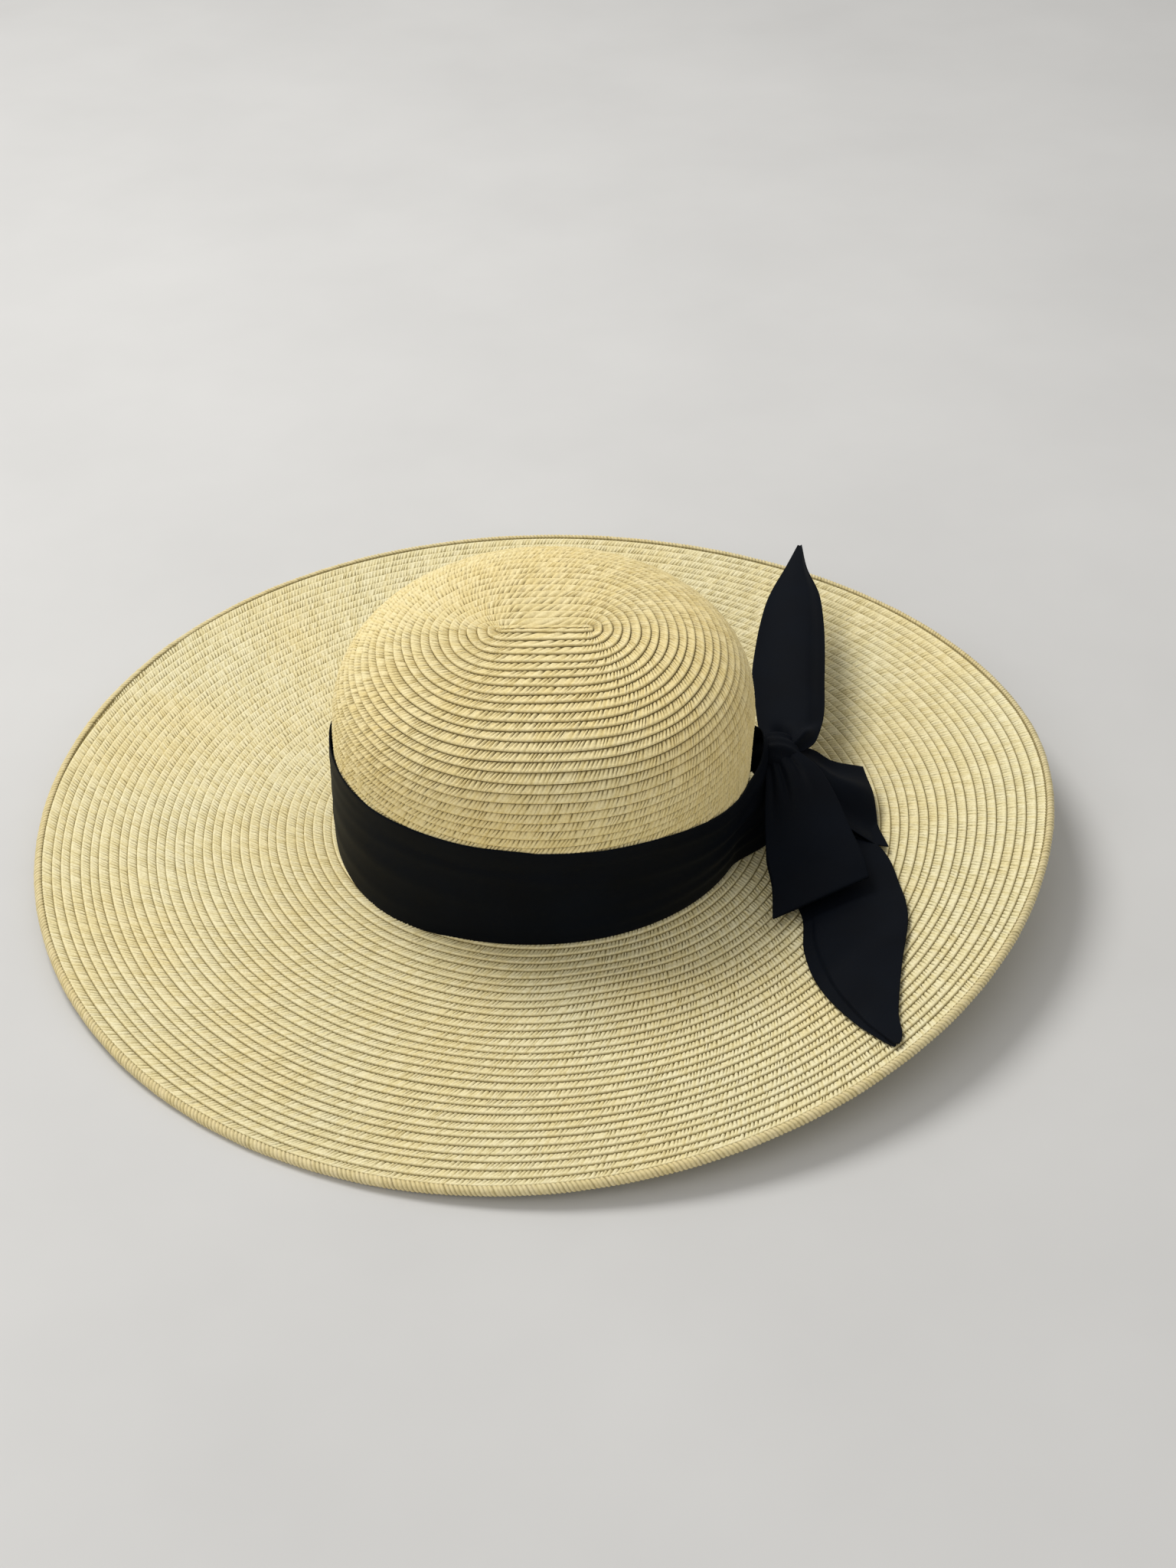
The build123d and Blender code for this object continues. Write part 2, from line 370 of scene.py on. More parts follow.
def mix(nodes, links, factor, a, b, blend="MIX"):
    node = nodes.new("ShaderNodeMix")
    node.data_type = "RGBA"
    node.blend_type = blend
    for socket, value in (("Factor", factor), ("A", a), ("B", b)):
        target = next(s for s in node.inputs if s.name == socket and s.enabled)
        if hasattr(value, "links"):
            links.new(value, target)
        else:
            target.default_value = value
    return next(s for s in node.outputs if s.enabled)


def attribute(nodes, name):
    node = nodes.new("ShaderNodeAttribute")
    node.attribute_name = name
    return node.outputs["Fac"]


def add_bump(nodes, links, shader, height, strength, distance):
    node = nodes.new("ShaderNodeBump")
    node.inputs["Strength"].default_value = strength
    node.inputs["Distance"].default_value = distance
    links.new(height, node.inputs["Height"])
    links.new(node.outputs["Normal"], shader.inputs["Normal"])


def map_range(nodes, links, value, low, high):
    node = nodes.new("ShaderNodeMapRange")
    node.inputs["To Min"].default_value = low
    node.inputs["To Max"].default_value = high
    links.new(value, node.inputs["Value"])
    return node.outputs["Result"]


def straw_material(name, light, mid, dark, gap):
    """Twisted paper straw: each strand has its own tone, the sewn lines and the pits between strands are
    darkened with painted shade, fine fibres run over it.
    """
    material, nodes, links, shader = new_material(name)
    place = nodes.new("ShaderNodeTexCoord").outputs["Object"]
    strand = attribute(nodes, "strand")
    groove_shade = attribute(nodes, "groove_shade")
    colour = ramp(nodes, links, strand, [(0.0, dark), (0.35, mid), (1.0, light)])
    patches = noise(nodes, links, place, 14, 3)
    warm = ramp(nodes, links, patches, [(0.35, (1.0, 0.95, 0.84)), (0.65, (1.0, 1.0, 1.0))])
    colour = mix(nodes, links, 0.8, colour, warm, "MULTIPLY")
    flecks = noise(nodes, links, place, 900, 2)
    fleck_tone = ramp(nodes, links, flecks, [(0.30, (0.80, 0.76, 0.68)), (0.55, (1.0, 1.0, 1.0))])
    colour = mix(nodes, links, 0.7, colour, fleck_tone, "MULTIPLY")
    # Painted shade: the gap colour laid over the sewn lines and the pits between strands.
    colour = mix(nodes, links, groove_shade, colour, (*gap, 1))
    links.new(colour, shader.inputs["Base Color"])
    links.new(map_range(nodes, links, flecks, 0.55, 0.8), shader.inputs["Roughness"])
    shader.inputs["Specular IOR Level"].default_value = 0.32
    fibre = noise(nodes, links, place, 2600, 2)
    add_bump(nodes, links, shader, fibre, 0.35, 0.0002)
    return material


def ribbon_material(name):
    """Thin dark cloth: a fine plain weave with a soft dull sheen."""
    material, nodes, links, shader = new_material(name)
    place = nodes.new("ShaderNodeTexCoord").outputs["Object"]
    tone = noise(nodes, links, place, 30, 4)
    colour = ramp(nodes, links, tone, [(0.3, (0.0017, 0.0026, 0.0047)), (0.7, (0.0028, 0.0045, 0.0081))])
    threads = noise(nodes, links, place, 3000, 1)
    thread_tone = ramp(nodes, links, threads, [(0.3, (0.6, 0.6, 0.65)), (0.7, (1.2, 1.2, 1.25))])
    colour = mix(nodes, links, 0.5, colour, thread_tone, "MULTIPLY")
    links.new(colour, shader.inputs["Base Color"])
    links.new(map_range(nodes, links, tone, 0.52, 0.68), shader.inputs["Roughness"])
    shader.inputs["Specular IOR Level"].default_value = 0.05
    shader.inputs["Sheen Weight"].default_value = 0.010
    shader.inputs["Sheen Roughness"].default_value = 0.45
    shader.inputs["Sheen Tint"].default_value = (0.62, 0.70, 0.85, 1)
    across = nodes.new("ShaderNodeTexWave")
    across.inputs["Scale"].default_value = 900
    across.inputs["Distortion"].default_value = 1.5
    links.new(place, across.inputs["Vector"])
    weave = mix(nodes, links, 0.5, across.outputs["Color"], threads)
    add_bump(nodes, links, shader, weave, 0.25, 0.00015)
    return material


def tape_material(name, light, dark, scale, roughness):
    """Plain woven tape or thread in two close tones."""
    material, nodes, links, shader = new_material(name)
    place = nodes.new("ShaderNodeTexCoord").outputs["Object"]
    ribs = nodes.new("ShaderNodeTexWave")
    ribs.bands_direction = "Z"
    ribs.inputs["Scale"].default_value = scale
    ribs.inputs["Distortion"].default_value = 0.6
    links.new(place, ribs.inputs["Vector"])
    colour = ramp(nodes, links, ribs.outputs["Fac"], [(0.2, dark), (0.8, light)])
    soil = noise(nodes, links, place, 45, 4)
    tone = ramp(nodes, links, soil, [(0.3, (0.9, 0.87, 0.8)), (0.6, (1.0, 1.0, 1.0))])
    links.new(mix(nodes, links, 0.6, colour, tone, "MULTIPLY"), shader.inputs["Base Color"])
    links.new(map_range(nodes, links, soil, roughness - 0.06, roughness + 0.06), shader.inputs["Roughness"])
    add_bump(nodes, links, shader, ribs.outputs["Fac"], 0.4, 0.0002)
    return material


straw = straw_material(
    "straw_braid", (0.92, 0.85, 0.565), (0.86, 0.775, 0.46), (0.73, 0.625, 0.33), (0.19, 0.145, 0.045)
)
# The crown's copy of the straw is darker and more golden than the brim's: painted shade.
crown_straw = straw_material(
    "crown_straw", (0.91, 0.80, 0.47), (0.85, 0.725, 0.375), (0.71, 0.585, 0.27), (0.18, 0.13, 0.04)
)
edge_straw = straw_material(
    "straw_edge_braid", (0.88, 0.77, 0.48), (0.80, 0.69, 0.38), (0.66, 0.54, 0.27), (0.17, 0.13, 0.04)
)
ribbon = ribbon_material("ribbon_cloth")
lining = tape_material("sweatband_tape", (0.66, 0.56, 0.36), (0.50, 0.41, 0.25), 700, 0.75)
label_cloth = tape_material("label_tape", (0.80, 0.79, 0.75), (0.66, 0.65, 0.61), 900, 0.5)
thread = tape_material("tack_thread", (0.82, 0.80, 0.74), (0.58, 0.56, 0.50), 1600, 0.6)


# ---- straw pieces --------------------------------------------------------
def wander(lap):
    """How far a sewn line strays, in rows."""
    return 0.05 * np.sin(2 * np.pi * 2.31 * lap + 1.1) + 0.035 * np.sin(2 * np.pi * 7.73 * lap + 0.3)


def row_strip(surface, row, section, side, strands):
    """One lap of braid, as points, quads and shading values."""
    f = section["f"][:, None]
    strands = max(fewest_strands, round(strands))
    per_strand = columns_per_strand if side > 0 else 2
    count = strands * per_strand
    j = np.arange(0, count + 1)[None, :]
    turn = j / count
    lap = row + turn
    wobble = wander(lap) * (1 - f) + wander(lap + 1) * f
    position = row + ease((turn - ramp_start) / (1 - ramp_start)) + f + wobble
    position = np.clip(position, 0, surface.rows)
    crossed = turn * strands
    inside = ease(turn * 60) * ease((1 - turn) * 60)       # laps meet where nothing strays
    uneven = 1 + 0.30 * inside * np.sin(2 * np.pi * crossed / 9.7 + 5 * row) * np.sin(crossed / 4.1)
    drift = 0.28 * inside * np.sin(2 * np.pi * crossed / 5.3 + row) * np.sin(crossed / 7.9 + 2 * row)
    where = turn - (side * row_slant * uneven * f - drift) / strands
    which = j // per_strand
    tones = rng.random(strands + 1)
    lifts = rng.normal(1.0, 0.42, strands + 1).clip(0.15, 1.9)
    lifts[[0, -1]] = 1.0
    ridge = RIDGE[per_strand][j % per_strand]
    height = section["height"][:, None] + section["strand"][:, None] * ridge * lifts[which]
    loose = 0.05 * np.sin(2 * np.pi * 11.3 * lap) * (section["height"][:, None] > 0)
    height = height + loose
    normal = surface.normal(where, position)
    points = surface.point(where, position) + normal * (side * height)[..., None]
    # Painted shade in the pits between strands: depth follows the strand relief, patch varies it along the
    # row, and pits are a few of the darkest.
    patch = 0.75 + 0.45 * np.sin(2 * np.pi * 31 * lap + 2 * row) * np.sin(2 * np.pi * 13.7 * lap)
    depth = (section["strand"][:, None] / deepest_strand) ** 1.4 * (ridge < 0) * 1.1 * lifts[which] * patch
    pits = (rng.random(strands + 1) > 0.82)[which] * (ridge < 0) * section["strand"][:, None] * 1.5
    # the painted shade in the sewn lines is darkest in front of the bow, away from the lamp, and lightest
    # behind the crown, on the lit side
    shade_away_from_lamp = 0.84 - 0.26 * np.cos(2 * np.pi * turn + math.radians(60))
    groove_shade = np.clip(section["groove_shade"][:, None] * shade_away_from_lamp + depth + pits, 0, 1)
    # Each strand's own random tone, with painted light and shade: lighter on its raised part, darker in the
    # pit between strands.
    tone = np.clip(0.62 + 0.8 * (tones[which] - 0.5) + 0.16 * ridge + 0 * f, 0, 1)
    quads = grid_quads(*points.shape[:2])
    if side < 0:
        quads = quads[:, ::-1]
    points = points.reshape(-1, 3)
    kept = np.linalg.norm(points[quads[:, 0]] - points[quads[:, 2]], axis=1) > 1e-4
    return points, quads[kept], groove_shade.ravel(), tone.ravel()


def row_length(surface, row):
    middle = min(max(row + 0.5, 0.5), surface.rows)
    ring = surface.point(np.linspace(0, 1, 361), np.full(361, middle))
    return np.linalg.norm(np.diff(ring, axis=0), axis=1).sum()


def braid(name, surface, rows, section, side, material, pitch=strand_pitch):
    """Rows of braid, split into pieces of no more than the largest size. Returns the pieces."""
    pieces, batch, triangles = [], [], 0

    def close_piece():
        points, quads, groove_shade, tone, start = [], [], [], [], 0
        for p, q, g, t in batch:
            points.append(p)
            quads.append(q + start)
            groove_shade.append(g)
            tone.append(t)
            start += len(p)
        values = {"groove_shade": np.concatenate(groove_shade), "strand": np.concatenate(tone)}
        label = f"{name}_{len(pieces) + 1}"
        pieces.append(mesh_object(label, np.concatenate(points), np.concatenate(quads), material, values))

    for row in rows:
        strip = row_strip(surface, row, section, side, row_length(surface, row) / pitch)
        if batch and triangles + 2 * len(strip[1]) > largest_piece:
            close_piece()
            batch, triangles = [], 0
        batch.append(strip)
        triangles += 2 * len(strip[1])
    close_piece()
    return pieces


def inner_surface(surface, depth):
    """The same surface moved inwards."""
    moved = Surface(surface.table - surface.normals * depth, surface.step)
    moved.normals = surface.normals
    return moved


def add_straw():
    """The crown and the brim, each with an outside and an inside of braid."""
    # the first lap starts before the tip line, so that its outer edge is the straight start
    crown_rows = np.arange(-1.5, crown.rows - 1, 1.0)
    crown_pieces = braid("crown_braid", crown, crown_rows, ROW, 1, crown_straw)
    inside = inner_surface(crown, crown_thickness - 0.2)
    crown_pieces += braid("crown_inside", inside, crown_rows, UNDER_ROW, -1, crown_straw, under_strand_pitch)
    top_rows = np.arange(-1.0, brim_rows, 1.0)
    brim_pieces = braid("brim_braid", brim_surface(1), top_rows, ROW, 1, straw)
    underside = brim_surface(-1)
    brim_pieces += braid("brim_underside", underside, top_rows, UNDER_ROW, -1, straw, under_strand_pitch)
    for piece in crown_pieces + brim_pieces:
        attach(piece, "hat")
    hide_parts("crown")
    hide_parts("brim")


def add_edge():
    """Braid rolled over the rim: a cord whose strands meet in a herringbone."""
    strands = 760
    around = 16
    count = strands * columns_per_strand
    j = np.arange(count)[None, :]
    k = np.arange(around)[:, None]
    section = 2 * np.pi * k / around
    lean = 1.6 * np.abs(((section / np.pi + 0.25) % 2.0) - 1.0)
    angle = 2 * np.pi * (j + columns_per_strand * lean) / count
    ridge = np.cos(2 * np.pi * j / columns_per_strand)
    which = j // columns_per_strand
    lifts = rng.normal(1, 0.2, strands).clip(0.4, 1.6)[which]
    seam = bump(np.abs(((section - 2.5 + np.pi) % (2 * np.pi)) - np.pi), 0, 0.3)
    radius = edge_radius - 0.18 + 0.2 * ridge * lifts - 0.35 * seam
    radius = radius + 0.05 * np.sin(angle * 23) + 0.04 * np.sin(angle * 57 + 1)
    out = rim_radius + radius * np.cos(section)
    z = brim_height(angle, np.full_like(angle, rim_radius)) + radius * np.sin(section)
    points = np.stack([out * np.cos(angle), out * np.sin(angle), z], -1)
    quads = grid_quads(around, count, wrap=True)
    here = np.arange(count)
    after = (here + 1) % count
    last_ring = (around - 1) * count
    quads = np.concatenate([quads, np.stack([last_ring + here, last_ring + after, after, here], -1)])
    # Painted shade in the pits between strands and along the tucked seam.
    groove_shade = np.clip(0.55 * (0.5 - 0.5 * ridge) ** 2 * lifts + seam, 0, 1)
    tone = 0.55 + 0.5 * (rng.random(strands)[which] - 0.5) + 0 * section
    values = {"groove_shade": (groove_shade + 0 * z).ravel(), "strand": (tone + 0 * z).ravel()}
    piece = mesh_object("rolled_edge", points.reshape(-1, 3), quads[:, ::-1], edge_straw, values)
    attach(piece, "hat")
    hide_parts("edge_binding")


# ---- cloth ---------------------------------------------------------------
def cloth_object(name, grid, thickness, material, wrap=False):
    """A closed thin sheet from a grid of its middle points; wrap joins its first and last columns."""
    rows, columns = grid.shape[:2]
    if wrap:
        along = np.roll(grid, -1, 1) - np.roll(grid, 1, 1)
    else:
        along = np.gradient(grid, axis=1)
    across = np.gradient(grid, axis=0)
    normal = unit(np.cross(along, across))
    top, bottom = grid + normal * thickness / 2, grid - normal * thickness / 2
    points = np.concatenate([top.reshape(-1, 3), bottom.reshape(-1, 3)])
    face = grid_quads(rows, columns, wrap)
    size = rows * columns
    quads = [face, face[:, ::-1] + size]

    def close_edge(line):
        a, b = line[:-1], line[1:]
        quads.append(np.stack([b, a, a + size, b + size], -1))

    number = np.arange(size).reshape(rows, columns)
    first, last = number[0], number[-1][::-1]
    if wrap:
        first = np.append(first, first[0])
        last = np.append(last, last[0])
    close_edge(first)
    close_edge(last)
    if not wrap:
        close_edge(number[:, -1])
        close_edge(number[::-1, 0])
    return mesh_object(name, points, np.concatenate(quads), material)


def sheet_between(left, right, rise, length_count, width_count, lift=(0, 0, 0)):
    """Grid between two edges, lifted along its normal by rise(t, v).

    t runs along the sheet and v from left to right.
    """
    a = by_station(left, length_count) + np.array(lift)
    b = by_station(right, length_count) + np.array(lift)
    t = np.linspace(0, 1, length_count)[:, None]
    v = np.linspace(0, 1, width_count)[None, :]
    flat = a[:, None] + (b - a)[:, None] * v[..., None]
    along = np.gradient(flat, axis=0)
    across = np.gradient(flat, axis=1)
    normal = unit(np.cross(across, along))
    normal = normal * np.sign(normal[..., 2:3])
    return flat + normal * rise(t, v)[..., None]


def loop_grid(top, normal_gap):
    """A ribbon that goes out along top, turns over its far edge and comes back below it."""
    rows = len(top)
    t = np.linspace(0, 1, rows)[:, None]
    along = unit(np.gradient(top, axis=0))
    across = unit(np.gradient(top, axis=1))
    normal = unit(np.cross(across, along))
    normal = normal * np.sign(normal[..., 2:3])
    under = top - normal * normal_gap(t, np.linspace(0, 1, top.shape[1])[None, :])[..., None]
    end_gap = np.linalg.norm(top[-1] - under[-1], axis=-1)[:, None]
    turn = []
    middle = (top[-1] + under[-1]) / 2
    for angle in np.linspace(0, np.pi, 9)[1:-1]:
        outwards = normal[-1] * math.cos(angle) + along[-1] * math.sin(angle)
        turn.append(middle + outwards * end_gap / 2)
    return np.concatenate([top, np.array(turn), under[::-1]])


def tie(piece, a, b, start, end, *nodes):
    """The piece's placement is baked into its mesh and the CAD parts it replaces are hidden; a, b, start and
    end are not used.
    """
    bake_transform(piece)
    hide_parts(*nodes)


# folds of the band: height up it, width, depth, and how far they stray
band_folds = (
    (0.20, 0.06, 0.7, 0.05),
    (0.43, 0.08, 0.9, -0.07),
    (0.66, 0.05, 0.7, 0.06),
    (0.86, 0.05, 0.5, -0.03),
)
band_thickness = 0.5
tail_thickness = 0.45


def add_band():
    """Ribbon pulled round the crown, drawn together before the knot, with folds that run into it."""
    columns, rows = 720, 56
    angle = np.linspace(0, 2 * np.pi, columns, endpoint=False)[None, :]
    v = np.linspace(0, 1, rows)[:, None]
    reach = wall_radius(angle[0], np.full(columns, 38.0))[None, :]
    side = reach * np.sin(angle) - knot_middle[1]
    # distance from the knot, which goes on growing on the side of the hat away from the bow
    near = np.abs(side) - np.minimum(0, reach * np.cos(angle))
    degrees = np.degrees(angle)
    towards_viewer = side < 0
    gather = np.where(towards_viewer, ease((115 - near) / 96), ease(1 - near / 50))
    low = band_low + (knot_middle[2] - 9 - band_low) * ease(1 - near / 20)
    high = band_high + (knot_middle[2] + 8 + 5 * ease(1 - near / 18) - band_high) * gather
    flare = bump(degrees, 226, 24)                      # here the lower edge spreads out over the brim
    low = low - 0.8 * flare
    edge_wave = 0.5 * np.sin(3 * angle + 0.6) + 0.25 * np.sin(11 * angle)
    z = low + (high + edge_wave - low) * v
    folds = np.zeros_like(z)
    for place, width, depth, drift in band_folds:
        middle = place + drift * np.sin(2 * angle + place * 9)
        strength = 0.18 + 0.35 * (0.5 + 0.5 * np.sin(3 * angle + place * 20)) + 1.3 * gather
        folds = folds + depth * strength * bump(v, middle, width)
    edges = 0.35 * (bump(v, 0, 0.03) + bump(v, 1, 0.03))
    lower_off = np.where(towards_viewer, 14 * ease((48 - near) / 28), 14 * ease(1 - near / 16))
    upper_off = np.where(towards_viewer, 7 * ease(1 - near / 36), 7 * ease(1 - near / 12))
    stand_off = lower_off * (1 - v) + upper_off * v
    stand_off = stand_off + 3.4 * flare * (1 - v) ** 1.5 + 2.9 * bump(degrees, 172, 17) * v
    out = wall_radius(angle + 0 * z, z) + 1.0 + folds - edges * 0.5 + stand_off
    grid = np.stack([out * np.cos(angle), out * np.sin(angle), z], -1)
    piece = cloth_object("ribbon_band", grid, band_thickness, ribbon, wrap=True)
    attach(piece, "hat")
    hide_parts("hat_band")


knot_middle = np.array([109.5, 6.0, base_height + 30.0])
knot_half = np.array([11.5, 12.0, 10.5])


def add_knot():
    """Ribbon wrapped tightly round the tie: an upright bead with pleats that run over it."""
    around, along = 120, 60
    # a goes round the wrap, over X and Z; s from one side of the knot to the other
    a = np.linspace(0, 2 * np.pi, around, endpoint=False)[None, :]
    s = np.linspace(0.02, 0.98, along)[:, None] * np.pi
    pleats = 0.055 * np.cos(5 * s + 0.6 * np.sin(a)) + 0.035 * np.cos(11 * s + np.sin(2 * a))
    sag = 1 + 0.05 * np.sin(a * 2 + 0.4)
    body = np.sin(s) ** 0.75 * (1 + pleats) * sag
    x = knot_middle[0] + knot_half[0] * body * np.cos(a)
    y = knot_middle[1] - knot_half[1] * np.cos(s) + 0 * a
    z = knot_middle[2] - 1.5 + knot_half[2] * body * np.sin(a)
    points = np.stack([x, y + 0 * x, z], -1)
    quads = grid_quads(along, around, wrap=True)
    ends = np.stack([points[0].mean(0), points[-1].mean(0)])
    size = along * around
    caps = []
    for row, centre in ((0, size), (along - 1, size + 1)):
        j = np.arange(0, around, 2)
        ring = row * around
        corners = [ring + j, ring + (j + 1) % around, ring + (j + 2) % around, np.full_like(j, centre)]
        cap = np.stack(corners, -1)
        caps.append(cap[:, ::-1] if row == 0 else cap)
    points = np.concatenate([points.reshape(-1, 3), ends])
    piece = mesh_object("ribbon_knot", points, np.concatenate([quads] + caps), ribbon)
    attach(piece, "hat")
    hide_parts("bow_knot")


def add_upper_tail():
    """Stands out behind the knot, creased along its length, with a hollow where it leaves the tie."""
    left = [
        (107, 4, 30.1), (103.3, 10, 33.1), (102.5, 22, 34.6), (102.2, 35, 35.6), (101.9, 58, 37.1),
        (104.8, 80, 38.1), (109.4, 104, 39.4), (115.1, 125, 40.4), (125.5, 150, 41.6), (132.8, 168.5, 42.4),
    ]
    right = [
        (116, 3, 31.1), (126.5, 8, 33.4), (131, 17, 34.1), (134.5, 32, 34.9), (136.7, 55, 36.1),
        (138.9, 78, 37.3), (140.4, 101, 38.6), (140.3, 126, 39.9), (136, 148, 41.4), (135.0, 169, 42.4),
    ]
    crease_at = 0.74        # of the width

    def rise(t, v):
        slope = np.where(v < crease_at, ease(v / crease_at), ease((1 - v) / (1 - crease_at)))
        crease = 3.4 * np.sin(np.pi * np.clip(t, 0, 1)) ** 0.5 * slope
        root = 3.0 * bump(v, 0.15, 0.12) * bump(t, 0.12, 0.07)
        root = root - 4.6 * bump(v, 0.40, 0.14) * bump(t, 0.17, 0.06)
        root = root + 3.2 * bump(v - 1.6 * (t - 0.05), 0.62, 0.11) * bump(t, 0.15, 0.09)
        soft = 0.5 * np.sin(9 * t + 3 * v) * np.sin(np.pi * v)
        return crease * ease(t * 6) + root + soft

    grid = sheet_between(left, right, rise, 150, 48, over_straw)
    piece = cloth_object("bow_tail_upper", grid, tail_thickness, ribbon)
    tie(piece, "hat", "bow_tail_up", (112, 10, 36.1), (113, 30, 36.1), "upper_tail")


def add_lower_tail():
    """Drops from the knot and lies along the brim, with one edge turned in."""
    left = [
        (105, -3), (105.5, -28), (109, -52), (116, -78), (115, -103), (119.2, -127.7), (129.6, -151.8),
        (140.1, -168.5), (144.8, -174.6),
    ]
    right = [
        (115, -2), (140, -18), (156, -40), (160.6, -65.4), (161.3, -90), (154.6, -123), (149.6, -153),
        (149.2, -168), (147.4, -174.8),
    ]
    gap = [19, 7.5, 3.4, 2.0, 1.7, 1.6, 1.6, 1.6, 1.6]      # over the brim, at each station
    on_brim = [[(x, y, brim_top(x, y) + g) for (x, y), g in zip(side, gap)] for side in (left, right)]

    def rise(t, v):
        turned_edge = 0.09 + 0.30 * np.clip(t - 0.45, 0, 1)
        step = 1.2 * ease((v - turned_edge) / 0.035) * ease((t - 0.36) / 0.08)
        fold = 1.5 * bump(t + 0.06 * v, 0.60, 0.045) + 0.8 * bump(t + 0.03 * v, 0.74, 0.05)
        soft = 0.8 * np.sin(np.pi * v) * (0.6 + 0.4 * np.sin(12 * t))
        return step + fold * np.sin(np.pi * v) ** 0.6 + soft + 1.5 * bump(v, 0.5, 0.25) * (1 - t) ** 2

    grid = sheet_between(*on_brim, rise, 170, 64)
    lowest = brim_top(grid[..., 0], grid[..., 1]) + 1.1
    grid[..., 2] = np.maximum(grid[..., 2], lowest)
    piece = cloth_object("bow_tail_lower", grid, tail_thickness, ribbon)
    tie(piece, "hat", "bow_tail_low", (111, -4, 22.1), (115, -24, 14.1), "lower_tail")


def add_back_loop():
    """The short loop behind, folded back on itself over the lower tail."""
    far = [(112, 11, 30.1), (126.5, 14.0, 27.1), (137, 9.5, 23.1), (151.5, 12.0, 17.6)]
    near = [(112, -2, 27.1), (124, -14, 21.1), (139, -27, 14.6), (158.4, -38.5, 7.1)]

    def rise(t, v):
        ridge = 3.0 * bump(v, 0.36, 0.16) * np.sin(np.pi * (0.15 + 0.7 * t))
        hollow = -3.0 * bump(v, 0.72, 0.15) * np.sin(np.pi * (0.2 + 0.6 * t))
        return ridge + hollow + 1.0 * np.sin(7 * t + 5 * v) * np.sin(np.pi * v)

    def gap(t, v):
        return 0.9 + 3.6 * np.sin(np.pi * t) * (0.5 + 0.5 * np.sin(np.pi * v))

    grid = loop_grid(sheet_between(far, near, rise, 60, 56, over_straw), gap)
    lowest = brim_top(grid[..., 0], grid[..., 1]) + 3.9
    grid[..., 2] = np.maximum(grid[..., 2], lowest)
    piece = cloth_object("bow_loop_far", grid, tail_thickness, ribbon)
    tie(piece, "bow_tail_low", "bow_loop_back", (114, 5, 29.1), (124, 0, 24.1), "back_loop")


def add_front_loop():
    """The wide loop in front, which hangs over the lower tail."""
    left = [
        (104, 3, 32.1), (103.5, -15, 31.1), (102, -33, 27.6), (101.4, -54.7, 22.1), (103.2, -68, 15.6),
        (102.6, -84.5, 9.7),
    ]
    right = [
        (119, 3, 35.1), (128.5, -8, 32.6), (135, -24, 29.1), (140, -42, 24.6), (144.5, -56, 20.6),
        (146.4, -65.5, 16.7),
    ]

    def rise(t, v):
        spread = 1.8 * np.sin(np.pi * v) * (1 - t) ** 0.7
        grooves = -1.6 * bump(v, 0.30 + 0.12 * t, 0.06) * bump(t, 0.22, 0.18)
        grooves = grooves - 1.2 * bump(v, 0.62, 0.07) * bump(t, 0.15, 0.15)
        grooves = grooves - 0.9 * bump(v, 0.12, 0.05) * bump(t, 0.2, 0.2)
        soft = 0.5 * np.sin(5 * t + 2 * v) * np.sin(np.pi * v)
        return spread + grooves + soft

    def gap(t, v):
        return 1.6 + 6.5 * np.sin(np.pi * t) ** 0.8 * (0.6 + 0.4 * np.sin(np.pi * v))

    grid = loop_grid(sheet_between(left, right, rise, 90, 60, over_straw), gap)
    piece = cloth_object("bow_loop_near", grid, tail_thickness, ribbon)
    tie(piece, "bow_loop_back", "bow_loop_front", (110, -2, 32.1), (111, -18, 30.1), "front_loop")


def add_lining():
    """Ribbed tape inside the crown and its blank size label."""
    columns, rows = 900, 26
    angle = np.linspace(0, 2 * np.pi, columns, endpoint=False)[None, :]
    v = np.linspace(0, 1, rows)[:, None]
    z = foot_height + 0.4 + (sweatband_height - 0.8) * v + 0 * angle
    stitch = 0.25 * (bump(v, 0.93, 0.03) * (0.5 + 0.5 * np.cos(200 * angle)))
    inset = crown_thickness + 0.75 + 0.12 * np.cos(450 * angle) * np.sin(np.pi * v) - stitch
    out = wall_radius(angle + 0 * z, z) - inset
    grid = np.stack([out * np.cos(angle), out * np.sin(angle), z], -1)
    tape = cloth_object("sweatband_tape", grid, 0.5, lining, wrap=True)
    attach(tape, "hat")
    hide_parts("sweatband")

    low, high = [np.array(corner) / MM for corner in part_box("size_label")]
    y = np.linspace(low[1], high[1], 60)[None, :]
    z = np.linspace(low[2], high[2], 36)[:, None] + 0 * y
    angle = np.arctan2(y, high[0]) + 0 * z
    hem = 0.12 * (bump(y, low[1], 0.9) + bump(y, high[1], 0.9)) + 0.1 * np.sin(y * 0.9)
    out = wall_radius(angle, z) - crown_thickness - 1.45 - hem
    grid = np.stack([out * np.cos(angle), out * np.sin(angle), z], -1)
    label = cloth_object("size_label_tape", grid, 0.3, label_cloth)
    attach(label, "hat")
    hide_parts("size_label")


